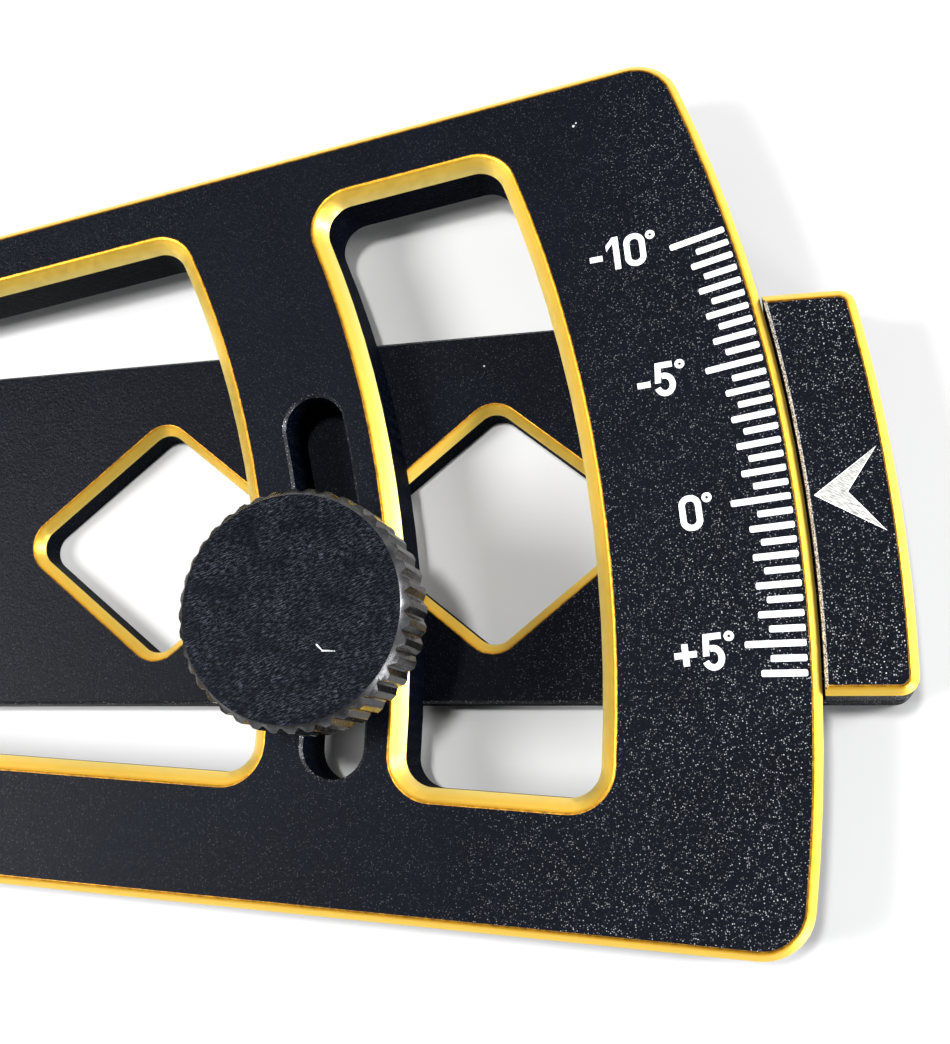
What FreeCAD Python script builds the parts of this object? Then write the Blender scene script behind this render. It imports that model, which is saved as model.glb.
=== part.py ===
"""Sliding bevel: a fan plate with a degree scale that swings on an arm under a clamp knob.

Frame: origin on the pivot axis at the arm's underside, +X along the zero line to the
pointer, +Y towards the -10 degree end of the scale, +Z up. Units are millimetres and degrees.
"""
import FreeCAD, Part
import math
import os

Vec = FreeCAD.Vector
UP = Vec(0, 0, 1)

# ---- stack heights -------------------------------------------------------------------
ARM_THICKNESS = 4.0
PLATE_GAP = 0.1
FAN_THICKNESS = 6.6
FAN_BOTTOM = ARM_THICKNESS + PLATE_GAP
FAN_TOP = FAN_BOTTOM + FAN_THICKNESS
SEAT_GAP = 0.02
EDGE_BREAK = 0.3

# ---- fan plate -----------------------------------------------------------------------
RIM_RADIUS = 161.2
RIM_CORNER = 5.0
FAN_UPPER_ANGLE, FAN_UPPER_OFFSET = 3.0, 40.0
FAN_LOWER_ANGLE, FAN_LOWER_OFFSET = -10.0, -14.75
HEEL_RADIUS = 28.0
RIM_CHAMFER = 0.75
WINDOW_CHAMFER = 1.4
WINDOW_CORNER = 3.0
WINDOW_UPPER_OFFSET = 32.85
WINDOW_LOWER_OFFSET = -1.7
WINDOW_RADII = ((40.0, 105.5), (121.5, 140.85))
SLOT_RADIUS = 114.25
SLOT_WIDTH = 6.4
SLOT_FROM, SLOT_TO = -9.25, 7.4

# ---- degree scale --------------------------------------------------------------------
SCALE_LOW, SCALE_HIGH, SCALE_STEP = -10.0, 6.0, 0.5
TICK_OUTER = 160.0
TICK_WIDTH = 0.64
TICK_CORNER = 0.18
TICK_INNER = {"short": 156.7, "medium": 155.8, "long": 154.4}
INK_DEPTH = 0.1

# ---- numerals: text and the plan place of the last digit's centre; "*" is the degree ring --
LABELS = {
    "minus_10": ("-10*", 148.6, 27.4),
    "minus_5": ("-5*", 149.75, 13.4),
    "0": ("0*", 150.55, -0.3),
    "plus_5": ("+5*", 150.8, -13.75),
}
DIGIT_HEIGHT, DIGIT_WIDTH = 3.5, 2.15
STROKE = 0.6
GAP_AFTER = {"-": 0.3, "+": 0.4, "1": 0.5, "0": 0.12, "5": 0.12, "*": 0.0}
ONE_STEM_RIGHT = 1.46
ONE_FLAG_REACH, ONE_FLAG_DROP, ONE_FLAG_DEPTH = 0.15, 0.8, 0.65
FIVE_BOWL_HALF_WIDTH, FIVE_BOWL_HALF_HEIGHT = 1.06, 1.2
FIVE_BACK_LEFT, FIVE_BACK_FOOT = 0.14, 1.42
FIVE_BACK_LEAN = 0.2
FIVE_TERMINAL_HEIGHT = 0.85
PLUS_SPAN = 2.1
DASH_LENGTH, DASH_DROP = 1.3, 0.3
DEGREE_RADIUS, DEGREE_STROKE, DEGREE_HEIGHT = 0.48, 0.34, 3.05

# ---- arm -----------------------------------------------------------------------------
ARM_UPPER_ANGLE, ARM_UPPER_OFFSET = -5.4, 36.1
ARM_LOWER_ANGLE, ARM_LOWER_OFFSET = -6.6, -0.6
ARM_DIRECTION = -6.0
ARM_END_RADIUS = 169.8
LUG_RADIUS = 13.0
SHOULDER_RADIUS = 12.5
SHOULDER_ALONG = 4.0
WAIST_ALONG = 60.0
WAIST_RADIUS = 60.0
DIAMOND_PITCH = 37.9
DIAMOND_FIRST = 53.0
DIAMOND_COUNT = 3
DIAMOND_ACROSS = 16.4
DIAMOND_HALF_LENGTH, DIAMOND_HALF_HEIGHT = 16.0, 12.9
DIAMOND_CORNER = 2.2
DIAMOND_CHAMFER = 1.0
FAN_COVER = 150.0

# ---- pointer block -------------------------------------------------------------------
BLOCK_UPPER_ANGLE, BLOCK_UPPER_OFFSET = -6.0, 36.97
BLOCK_LOWER_ANGLE, BLOCK_LOWER_OFFSET = -6.6, -0.4
BLOCK_INNER_RADIUS, BLOCK_OUTER_RADIUS = 161.45, 169.8
BLOCK_CHAMFER = 0.75
BLOCK_CORNER = 1.8
CHEVRON_TIP = 162.1
CHEVRON_NOTCH = 165.2
CHEVRON_WING = 168.25
CHEVRON_HALF_WIDTH = 4.07
CHEVRON_SETTING = -0.12
CHEVRON_TILT = -2.0
BLOCK_SCREW_ANGLES = (-4.6, 4.6)
BLOCK_DOWEL_ANGLES = (-2.3, 2.3)
BLOCK_FASTENER_RADIUS = 165.7
M3_RADIUS, M3_HEAD_RADIUS, M3_HEAD_DEPTH, M3_REACH = 1.5, 2.9, 1.6, 5.0
M3_SOCKET_RADIUS, M3_SOCKET_DEPTH = 1.15, 1.2
DOWEL_RADIUS, DOWEL_FROM, DOWEL_TO = 1.25, 1.0, 8.0

# ---- pivot ---------------------------------------------------------------------------
POST_RADIUS = 4.0
POST_FLANGE_RADIUS, POST_FLANGE_HEIGHT = 7.0, 2.0
POST_THREAD_RADIUS = 2.1
BUSH_RADIUS = 5.5
RUNNING_CLEARANCE = 0.05
THRUST_RADIUS, THRUST_HEIGHT = 10.0, 1.0
PIVOT_WASHER_RADIUS, PIVOT_WASHER_HEIGHT = 9.5, 1.2
PIVOT_HEAD_RADIUS, PIVOT_HEAD_HEIGHT = 5.6, 3.0
PIVOT_SOCKET_RADIUS, PIVOT_SOCKET_DEPTH = 2.3, 1.8
PIVOT_SCREW_REACH = 7.0

# ---- clamp ---------------------------------------------------------------------------
STUD_ANGLE = -3.2
STUD_RADIUS = 3.0
STUD_HEAD_RADIUS, STUD_HEAD_HEIGHT = 4.6, 2.0
STUD_TIP = 19.6
PAD_OUTER, PAD_HEIGHT = 7.4, 0.9
WASHER_OUTER, WASHER_HEIGHT = 7.9, 1.4
NECK_RADIUS = 5.4
RING_WIRE = 0.5
RING_HEIGHT = 0.7
RING_GAP = 1.6
KNOB_RADIUS = 11.4
KNOB_FACE_RADIUS = 10.65
KNOB_TOP = FAN_TOP + 12.7
KNOB_BEVEL = 0.9
KNOB_SKIRT = 5.4
KNOB_LOWER_BEVEL = 0.6
KNOB_TEETH = 40
KNOB_TOOTH_DEPTH = 0.45
KNOB_SHOULDER_DEPTH = 0.12
GROOVE_MOUTH, GROOVE_SHOULDER, GROOVE_BOTTOM = 0.46, 0.28, 0.05
CUTTER_MARGIN = 0.3
INSERT_RADIUS = 4.2
INSERT_HEIGHT = 6.4
BLIND_HOLE_TOP = 20.6


# ---- geometry helpers ----------------------------------------------------------------
def direction(angle):
    """Unit vector in the plan at an angle from +X."""
    return Vec(math.cos(math.radians(angle)), math.sin(math.radians(angle)), 0)


def on_line(angle, offset, along):
    """Point on the line at this angle that passes the origin at a signed distance."""
    return direction(angle) * along + direction(angle + 90) * offset


def crossing(line_a, line_b):
    """Point where two lines, each given as an angle and an offset, cross."""
    normal_a = direction(line_a[0] + 90)
    normal_b = direction(line_b[0] + 90)
    spread = normal_a.x * normal_b.y - normal_a.y * normal_b.x
    x = (line_a[1] * normal_b.y - line_b[1] * normal_a.y) / spread
    y = (line_b[1] * normal_a.x - line_a[1] * normal_b.x) / spread
    return Vec(x, y, 0)


def polygon(points):
    """Flat face through plan points."""
    return Part.Face(Part.makePolygon(list(points) + [points[0]]))


def prism(face, bottom, top):
    """Face in the plan pulled up between two heights."""
    raised = face.copy()
    raised.translate(UP * bottom)
    return raised.extrude(UP * (top - bottom))


def disc(radius, bottom, top, centre=Vec(0, 0, 0)):
    """Upright cylinder between two heights."""
    return Part.makeCylinder(radius, top - bottom, Vec(centre.x, centre.y, bottom))


def ring(outer, inner, bottom, top, centre=Vec(0, 0, 0)):
    """Upright tube between two heights."""
    return disc(outer, bottom, top, centre).cut(disc(inner, bottom, top, centre))


def revolve(profile, centre):
    """Solid of revolution about an upright axis, from (radius, height) pairs."""
    points = [Vec(radius, 0, height) for radius, height in profile]
    wire = Part.makePolygon(points + [points[0]])
    solid = Part.Face(wire).revolve(Vec(0, 0, 0), UP, 360)
    solid.translate(Vec(centre.x, centre.y, 0))
    return solid


def upright_edges(shape, keep=lambda middle: True):
    """Edges parallel to Z whose middle passes a test."""
    found = []
    for edge in shape.Edges:
        first, last = edge.Vertexes[0].Point, edge.Vertexes[-1].Point
        is_upright = abs(first.x - last.x) + abs(first.y - last.y) < 1e-6 and abs(first.z - last.z) > 1e-3
        if is_upright and keep((first + last) * 0.5):
            found.append(edge)
    return found


def level_edges(shape, height, keep=lambda middle: True):
    """Edges that lie at one height and whose middle passes a test."""
    found = []
    for edge in shape.Edges:
        box = edge.BoundBox
        middle = edge.valueAt((edge.FirstParameter + edge.LastParameter) * 0.5)
        if abs(box.ZMin - height) < 1e-6 and abs(box.ZMax - height) < 1e-6 and keep(middle):
            found.append(edge)
    return found


def plan_radius(point):
    """Distance of a point from the pivot axis."""
    return math.hypot(point.x, point.y)


def strip(upper, lower, from_radius, to_radius, bottom, top):
    """Band between two lines and two circles about the pivot."""
    reach = to_radius * 1.3
    corners = [on_line(*upper, 0), on_line(*lower, 0), on_line(*lower, reach), on_line(*upper, reach)]
    band = prism(polygon(corners), bottom, top).common(disc(to_radius, bottom, top))
    return band.cut(disc(from_radius, bottom, top))


def biggest(shape):
    """The one solid of a result, or its largest."""
    return max(shape.Solids, key=lambda solid: solid.Volume)


def group(solids):
    """Separate solids kept together as one node."""
    return Part.makeCompound([solid for shape in solids for solid in shape.Solids])


# ---- fan plate -----------------------------------------------------------------------
FAN_UPPER = (FAN_UPPER_ANGLE, FAN_UPPER_OFFSET)
FAN_LOWER = (FAN_LOWER_ANGLE, FAN_LOWER_OFFSET)


def heel_centre():
    """Centre of the round heel that is tangent to both long edges."""
    return crossing(
        (FAN_UPPER_ANGLE, FAN_UPPER_OFFSET - HEEL_RADIUS),
        (FAN_LOWER_ANGLE, FAN_LOWER_OFFSET + HEEL_RADIUS),
    )


def fan_blank():
    """Sector between the two long edges, closed by the rim arc and the round heel."""
    centre = heel_centre()
    upper_tangent = centre + direction(FAN_UPPER_ANGLE + 90) * HEEL_RADIUS
    lower_tangent = centre - direction(FAN_LOWER_ANGLE + 90) * HEEL_RADIUS
    reach = RIM_RADIUS * 1.2
    corners = [upper_tangent, lower_tangent, on_line(*FAN_LOWER, reach), on_line(*FAN_UPPER, reach)]
    sector = prism(polygon(corners), FAN_BOTTOM, FAN_TOP).common(disc(RIM_RADIUS, FAN_BOTTOM, FAN_TOP))
    blank = sector.fuse(disc(HEEL_RADIUS, FAN_BOTTOM, FAN_TOP, centre)).removeSplitter()
    rim_corners = upright_edges(blank, lambda middle: plan_radius(middle) > RIM_RADIUS - 1)
    blank = biggest(blank.makeFillet(RIM_CORNER, rim_corners))
    blank = blank.makeChamfer(RIM_CHAMFER, level_edges(blank, FAN_TOP))
    return blank.makeChamfer(EDGE_BREAK, level_edges(blank, FAN_BOTTOM))


def window_cutter(inner, outer):
    """Rounded opening between two arcs and lines parallel to the fan's long edges."""
    upper = (FAN_UPPER_ANGLE, WINDOW_UPPER_OFFSET)
    lower = (FAN_LOWER_ANGLE, WINDOW_LOWER_OFFSET)
    cutter = biggest(strip(upper, lower, inner, outer, FAN_BOTTOM, FAN_TOP))
    return cutter.makeFillet(WINDOW_CORNER, upright_edges(cutter))


def slot_cutter():
    """Arc slot concentric with the pivot, with round ends."""
    half = SLOT_WIDTH / 2
    span = SLOT_TO - SLOT_FROM
    outer = Part.makeCylinder(SLOT_RADIUS + half, FAN_THICKNESS, Vec(0, 0, FAN_BOTTOM), UP, span)
    inner = Part.makeCylinder(SLOT_RADIUS - half, FAN_THICKNESS, Vec(0, 0, FAN_BOTTOM), UP, span)
    arc = outer.cut(inner)
    arc.rotate(Vec(0, 0, 0), UP, SLOT_FROM)
    ends = [disc(half, FAN_BOTTOM, FAN_TOP, direction(angle) * SLOT_RADIUS) for angle in (SLOT_FROM, SLOT_TO)]
    return arc.multiFuse(ends).removeSplitter()


def fan_plate(marks):
    plate = fan_blank()
    for inner, outer in WINDOW_RADII:
        plate = biggest(plate.cut(window_cutter(inner, outer)))

        def around_window(middle, low=inner - 1, high=outer + 1):
            below_upper = middle.dot(direction(FAN_UPPER_ANGLE + 90)) < WINDOW_UPPER_OFFSET + 1
            above_lower = middle.dot(direction(FAN_LOWER_ANGLE + 90)) > WINDOW_LOWER_OFFSET - 1
            return low < plan_radius(middle) < high and below_upper and above_lower

        plate = plate.makeChamfer(WINDOW_CHAMFER, level_edges(plate, FAN_TOP, around_window))
    plate = biggest(plate.cut(slot_cutter()))

    def around_slot(middle):
        return abs(plan_radius(middle) - SLOT_RADIUS) < SLOT_WIDTH / 2 + 0.2

    plate = plate.makeChamfer(EDGE_BREAK, level_edges(plate, FAN_TOP, around_slot))
    plate = plate.cut(disc(BUSH_RADIUS, FAN_BOTTOM, FAN_TOP))
    return biggest(plate.cut(group(marks)))


# ---- degree scale --------------------------------------------------------------------
def bar(x_low, x_high, y_low, y_high, corner=0.0):
    """Rectangle in the plan, with round corners when a corner radius is given."""
    box = Part.makeBox(x_high - x_low, y_high - y_low, INK_DEPTH, Vec(x_low, y_low, 0))
    return box.makeFillet(corner, upright_edges(box)) if corner else box


def tick(angle, kind):
    half = TICK_WIDTH / 2
    mark = bar(TICK_INNER[kind], TICK_OUTER, -half, half, TICK_CORNER)
    mark.translate(UP * (FAN_TOP - INK_DEPTH))
    mark.rotate(Vec(0, 0, 0), UP, angle)
    return mark


def tick_kind(step):
    """Every tenth half-degree is long, every whole degree medium, the rest short."""
    if step % 10 == 0:
        return "long"
    return "medium" if step % 2 == 0 else "short"


def scale_ticks():
    """Ticks by length. The reading falls as the plan angle rises."""
    ticks = {"short": [], "medium": [], "long": []}
    first = round(SCALE_LOW / SCALE_STEP)
    last = round(SCALE_HIGH / SCALE_STEP)
    for step in range(first, last + 1):
        kind = tick_kind(step)
        ticks[kind].append(tick(-step * SCALE_STEP, kind))
    return ticks


def oval(half_width, half_height, centre_x, centre_y):
    """Upright oval slab of the ink's depth, at least as high as it is wide."""
    if half_height > half_width:
        curve = Part.Ellipse(Vec(0, 0, 0), half_height, half_width)
    else:
        curve = Part.Circle(Vec(0, 0, 0), UP, half_width)
    shape = Part.Face(Part.Wire(curve.toShape())).extrude(UP * INK_DEPTH)
    shape.rotate(Vec(0, 0, 0), UP, 90)
    shape.translate(Vec(centre_x, centre_y, 0))
    return shape


def oval_ring(half_width, half_height, centre_x, centre_y, stroke=STROKE):
    outside = oval(half_width, half_height, centre_x, centre_y)
    return outside.cut(oval(half_width - stroke, half_height - stroke, centre_x, centre_y))


def slab(points):
    """Slab of the ink's depth through plan points."""
    return prism(polygon([Vec(x, y, 0) for x, y in points]), 0, INK_DEPTH)


def zero():
    """Upright ring with straight sides and round ends."""
    roundness = 0.47
    inner_width = DIGIT_WIDTH - 2 * STROKE
    outside = bar(0, DIGIT_WIDTH, 0, DIGIT_HEIGHT, DIGIT_WIDTH * roundness)
    inside = bar(STROKE, DIGIT_WIDTH - STROKE, STROKE, DIGIT_HEIGHT - STROKE, inner_width * roundness)
    return outside.cut(inside)


def one():
    stem_left = ONE_STEM_RIGHT - STROKE
    flag_low = DIGIT_HEIGHT - ONE_FLAG_DROP
    flag = slab([
        (stem_left, DIGIT_HEIGHT),
        (ONE_FLAG_REACH, flag_low),
        (ONE_FLAG_REACH, flag_low - ONE_FLAG_DEPTH),
        (stem_left, DIGIT_HEIGHT - ONE_FLAG_DEPTH),
    ])
    return bar(stem_left, ONE_STEM_RIGHT, 0, DIGIT_HEIGHT).fuse(flag).removeSplitter()


def five():
    """Round bowl with its mouth on the left, an upright back and a level top."""
    centre_x = DIGIT_WIDTH - FIVE_BOWL_HALF_WIDTH
    mouth = slab([
        (centre_x, FIVE_BOWL_HALF_HEIGHT),
        (-STROKE, FIVE_TERMINAL_HEIGHT - STROKE / 2),
        (-STROKE, 2 * FIVE_BOWL_HALF_HEIGHT),
        (FIVE_BACK_LEFT + STROKE, 2 * FIVE_BOWL_HALF_HEIGHT),
    ])
    bowl = oval_ring(FIVE_BOWL_HALF_WIDTH, FIVE_BOWL_HALF_HEIGHT, centre_x, FIVE_BOWL_HALF_HEIGHT).cut(mouth)
    top_left = FIVE_BACK_LEFT + FIVE_BACK_LEAN
    back = slab([
        (top_left, DIGIT_HEIGHT),
        (FIVE_BACK_LEFT, FIVE_BACK_FOOT),
        (FIVE_BACK_LEFT + STROKE, FIVE_BACK_FOOT),
        (top_left + STROKE, DIGIT_HEIGHT),
    ])
    top = bar(top_left, DIGIT_WIDTH - FIVE_BACK_LEFT, DIGIT_HEIGHT - STROKE, DIGIT_HEIGHT)
    return bowl.multiFuse([back, top]).removeSplitter()


def plus():
    middle = DIGIT_HEIGHT / 2
    level = bar(0, PLUS_SPAN, middle - STROKE / 2, middle + STROKE / 2)
    left = (PLUS_SPAN - STROKE) / 2
    upright = bar(left, left + STROKE, middle - PLUS_SPAN / 2, middle + PLUS_SPAN / 2)
    return level.fuse(upright).removeSplitter()


def dash():
    middle = DIGIT_HEIGHT / 2 - DASH_DROP
    return bar(0, DASH_LENGTH, middle - STROKE / 2, middle + STROKE / 2)


def degree_ring():
    return oval_ring(DEGREE_RADIUS, DEGREE_RADIUS, DEGREE_RADIUS, DEGREE_HEIGHT, DEGREE_STROKE)


def glyph(sign):
    """One character, drawn from its lower left corner, and its width."""
    drawings = {
        "0": (zero, DIGIT_WIDTH),
        "1": (one, ONE_STEM_RIGHT),
        "5": (five, DIGIT_WIDTH),
        "+": (plus, PLUS_SPAN),
        "-": (dash, DASH_LENGTH),
        "*": (degree_ring, 2 * DEGREE_RADIUS),
    }
    draw, width = drawings[sign]
    return draw(), width


def label(text, x, y):
    """Characters in a row along X, with the centre of the last digit at a plan point."""
    cursor = 0.0
    last_digit = 0.0
    pieces = []
    for sign in text:
        shape, width = glyph(sign)
        shape.translate(Vec(cursor, 0, 0))
        pieces.append(shape)
        if sign.isdigit():
            last_digit = cursor + width / 2
        cursor += width + GAP_AFTER[sign]
    row = group(pieces)
    row.translate(Vec(x - last_digit, y - DIGIT_HEIGHT / 2, FAN_TOP - INK_DEPTH))
    return row


# ---- arm -----------------------------------------------------------------------------
ARM_UPPER = (ARM_UPPER_ANGLE, ARM_UPPER_OFFSET)
ARM_LOWER = (ARM_LOWER_ANGLE, ARM_LOWER_OFFSET)
BLOCK_UPPER = (BLOCK_UPPER_ANGLE, BLOCK_UPPER_OFFSET)
BLOCK_LOWER = (BLOCK_LOWER_ANGLE, BLOCK_LOWER_OFFSET)


def fastener_spots(angles):
    return [direction(angle) * BLOCK_FASTENER_RADIUS for angle in angles]


def stud_centre():
    return direction(STUD_ANGLE) * SLOT_RADIUS


def arm_blank():
    """Straight strip under the fan, with a pivot lug and a round shoulder at the heel."""
    shoulder = on_line(ARM_UPPER_ANGLE, ARM_UPPER_OFFSET - SHOULDER_RADIUS, SHOULDER_ALONG)
    waist = on_line(*ARM_LOWER, WAIST_ALONG)
    to_waist = waist.Length
    touch_angle = math.degrees(math.atan2(waist.y, waist.x)) - math.degrees(math.acos(LUG_RADIUS / to_waist))
    spine = math.degrees(math.atan2(shoulder.y, shoulder.x))
    spread = math.degrees(math.acos((LUG_RADIUS - SHOULDER_RADIUS) / shoulder.Length))
    left = direction(spine + spread)
    reach = ARM_END_RADIUS * 1.2
    outline = [
        shoulder + direction(ARM_UPPER_ANGLE + 90) * SHOULDER_RADIUS,
        shoulder + left * SHOULDER_RADIUS,
        left * LUG_RADIUS,
        direction(touch_angle) * LUG_RADIUS,
        waist,
        on_line(*ARM_LOWER, reach),
        on_line(*ARM_UPPER, reach),
    ]
    strip_body = prism(polygon(outline), 0, ARM_THICKNESS).common(disc(ARM_END_RADIUS, 0, ARM_THICKNESS))
    rounds = [disc(LUG_RADIUS, 0, ARM_THICKNESS), disc(SHOULDER_RADIUS, 0, ARM_THICKNESS, shoulder)]
    blank = strip_body.multiFuse(rounds).removeSplitter()
    waist_edges = upright_edges(blank, lambda middle: (middle - waist).Length < ARM_THICKNESS)
    blank = blank.makeFillet(WAIST_RADIUS, waist_edges)
    tips = upright_edges(blank, lambda middle: plan_radius(middle) > ARM_END_RADIUS - 1)
    return biggest(blank.makeFillet(BLOCK_CORNER, tips))


def diamond_centre(index):
    along = DIAMOND_FIRST + index * DIAMOND_PITCH
    return on_line(ARM_DIRECTION, DIAMOND_ACROSS, along)


def diamond_cutter(centre):
    """Rounded diamond with its long diagonal along the arm."""
    long_way = direction(ARM_DIRECTION) * DIAMOND_HALF_LENGTH
    short_way = direction(ARM_DIRECTION + 90) * DIAMOND_HALF_HEIGHT
    face = polygon([centre + long_way, centre + short_way, centre - long_way, centre - short_way])
    cutter = prism(face, 0, ARM_THICKNESS)
    return cutter.makeFillet(DIAMOND_CORNER, upright_edges(cutter))


def swing_arm():
    arm = arm_blank()
    outline_edges = level_edges(arm, 0)
    outline_edges += level_edges(arm, ARM_THICKNESS, lambda middle: plan_radius(middle) < FAN_COVER)
    arm = arm.makeChamfer(EDGE_BREAK, outline_edges)
    for index in range(DIAMOND_COUNT):
        centre = diamond_centre(index)
        arm = biggest(arm.cut(diamond_cutter(centre)))

        def around_diamond(middle, centre=centre):
            return (middle - Vec(centre.x, centre.y, middle.z)).Length < DIAMOND_HALF_LENGTH

        arm = arm.makeChamfer(DIAMOND_CHAMFER, level_edges(arm, ARM_THICKNESS, around_diamond))
    cuts = [
        disc(POST_RADIUS, 0, ARM_THICKNESS),
        disc(POST_FLANGE_RADIUS, 0, POST_FLANGE_HEIGHT),
        disc(THRUST_RADIUS, ARM_THICKNESS - THRUST_HEIGHT + PLATE_GAP - SEAT_GAP, ARM_THICKNESS),
        disc(STUD_RADIUS, 0, ARM_THICKNESS, stud_centre()),
        disc(STUD_HEAD_RADIUS, 0, STUD_HEAD_HEIGHT, stud_centre()),
    ]
    for spot in fastener_spots(BLOCK_SCREW_ANGLES):
        cuts.append(screw_body(spot, ARM_THICKNESS))
    for spot in fastener_spots(BLOCK_DOWEL_ANGLES):
        cuts.append(disc(DOWEL_RADIUS, DOWEL_FROM, ARM_THICKNESS, spot))
    return biggest(arm.cut(group(cuts)))


# ---- pointer block -------------------------------------------------------------------
def screw_body(spot, top):
    """Countersunk screw from the arm's underside up to a height, without its socket."""
    profile = [(0, 0), (M3_HEAD_RADIUS, 0), (M3_RADIUS, M3_HEAD_DEPTH), (M3_RADIUS, top), (0, top)]
    return revolve(profile, spot)


def block_screw(spot):
    socket = polygon([spot + direction(60 * side) * M3_SOCKET_RADIUS for side in range(6)])
    return screw_body(spot, ARM_THICKNESS + M3_REACH).cut(prism(socket, 0, M3_SOCKET_DEPTH))


def chevron(bottom, top):
    """Swept arrowhead whose tip points at the rim, set square to the block's slant."""
    points = [
        Vec(CHEVRON_TIP, 0, 0),
        Vec(CHEVRON_WING, -CHEVRON_HALF_WIDTH, 0),
        Vec(CHEVRON_NOTCH, 0, 0),
        Vec(CHEVRON_WING, CHEVRON_HALF_WIDTH, 0),
    ]
    arrow = prism(polygon(points), bottom, top)
    arrow.rotate(Vec(CHEVRON_TIP, 0, 0), UP, CHEVRON_TILT)
    arrow.rotate(Vec(0, 0, 0), UP, CHEVRON_SETTING)
    return arrow


def pointer_block():
    band = strip(BLOCK_UPPER, BLOCK_LOWER, BLOCK_INNER_RADIUS, BLOCK_OUTER_RADIUS, ARM_THICKNESS, FAN_TOP)
    block = biggest(band)
    outer_corners = upright_edges(block, lambda middle: plan_radius(middle) > BLOCK_OUTER_RADIUS - 1)
    block = block.makeFillet(BLOCK_CORNER, outer_corners)
    wide = level_edges(block, FAN_TOP, lambda middle: plan_radius(middle) > BLOCK_INNER_RADIUS + 1)
    block = block.makeChamfer(BLOCK_CHAMFER, wide)
    narrow = level_edges(block, FAN_TOP, lambda middle: plan_radius(middle) < BLOCK_INNER_RADIUS + 0.01)
    block = block.makeChamfer(EDGE_BREAK, narrow)
    screw_top = ARM_THICKNESS + M3_REACH
    cuts = [disc(M3_RADIUS, ARM_THICKNESS, screw_top, spot) for spot in fastener_spots(BLOCK_SCREW_ANGLES)]
    cuts += [disc(DOWEL_RADIUS, ARM_THICKNESS, DOWEL_TO, spot) for spot in fastener_spots(BLOCK_DOWEL_ANGLES)]
    cuts.append(chevron(FAN_TOP - INK_DEPTH, FAN_TOP))
    return biggest(block.cut(group(cuts)))


# ---- pivot ---------------------------------------------------------------------------
def pivot_post():
    post_top = FAN_TOP + SEAT_GAP
    profile = [
        (0, 0),
        (POST_FLANGE_RADIUS, 0),
        (POST_FLANGE_RADIUS, POST_FLANGE_HEIGHT),
        (POST_RADIUS, POST_FLANGE_HEIGHT),
        (POST_RADIUS, post_top),
        (POST_THREAD_RADIUS, post_top),
        (POST_THREAD_RADIUS, post_top - PIVOT_SCREW_REACH),
        (0, post_top - PIVOT_SCREW_REACH),
    ]
    return revolve(profile, Vec(0, 0, 0))


def pivot_washer():
    bottom = FAN_TOP + SEAT_GAP
    top = bottom + PIVOT_WASHER_HEIGHT
    washer = ring(PIVOT_WASHER_RADIUS, POST_THREAD_RADIUS, bottom, top)
    rim = level_edges(washer, top, lambda middle: plan_radius(middle) > PIVOT_WASHER_RADIUS - EDGE_BREAK)
    return washer.makeChamfer(EDGE_BREAK, rim)


def pivot_screw():
    """Button-head screw with a hexagon socket."""
    seat = FAN_TOP + SEAT_GAP + PIVOT_WASHER_HEIGHT
    head_top = seat + PIVOT_HEAD_HEIGHT
    shank = disc(POST_THREAD_RADIUS, FAN_TOP + SEAT_GAP - PIVOT_SCREW_REACH, seat)
    head = disc(PIVOT_HEAD_RADIUS, seat, head_top)
    head = head.makeFillet(PIVOT_HEAD_HEIGHT * 0.8, level_edges(head, head_top))
    socket = polygon([direction(60 * side) * PIVOT_SOCKET_RADIUS for side in range(6)])
    return shank.fuse(head).removeSplitter().cut(prism(socket, head_top - PIVOT_SOCKET_DEPTH, head_top))


def pivot_bush():
    return ring(BUSH_RADIUS, POST_RADIUS + RUNNING_CLEARANCE, FAN_BOTTOM, FAN_TOP)


def thrust_washer():
    bottom = ARM_THICKNESS - THRUST_HEIGHT + PLATE_GAP - SEAT_GAP
    return ring(THRUST_RADIUS, POST_RADIUS, bottom, bottom + THRUST_HEIGHT)


# ---- clamp ---------------------------------------------------------------------------
PAD_BOTTOM = FAN_TOP + SEAT_GAP
WASHER_BOTTOM = PAD_BOTTOM + PAD_HEIGHT
WASHER_TOP = WASHER_BOTTOM + WASHER_HEIGHT
SKIRT_TOP = KNOB_TOP - KNOB_BEVEL
SKIRT_BOTTOM = SKIRT_TOP - KNOB_SKIRT
KNOB_BOTTOM = SKIRT_BOTTOM - KNOB_LOWER_BEVEL
NECK_BOTTOM = WASHER_TOP - WASHER_HEIGHT / 2 + SEAT_GAP


def clamp_stud():
    centre = stud_centre()
    head = disc(STUD_HEAD_RADIUS, 0, STUD_HEAD_HEIGHT, centre)
    shank = disc(STUD_RADIUS, STUD_HEAD_HEIGHT, STUD_TIP, centre)
    shank = shank.makeChamfer(STUD_RADIUS * 0.2, level_edges(shank, STUD_TIP))
    return head.fuse(shank).removeSplitter()


def clamp_pad():
    """Nylon disc bonded under the washer."""
    return ring(PAD_OUTER, STUD_RADIUS + RUNNING_CLEARANCE, PAD_BOTTOM, WASHER_BOTTOM, stud_centre())


def clamp_washer():
    centre = stud_centre()
    washer = ring(WASHER_OUTER, STUD_RADIUS + RUNNING_CLEARANCE, WASHER_BOTTOM, WASHER_TOP, centre)
    cup_bottom = WASHER_TOP - WASHER_HEIGHT / 2
    cup = ring(NECK_RADIUS + RUNNING_CLEARANCE, STUD_RADIUS, cup_bottom, WASHER_TOP, centre)
    return washer.cut(cup)


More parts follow.
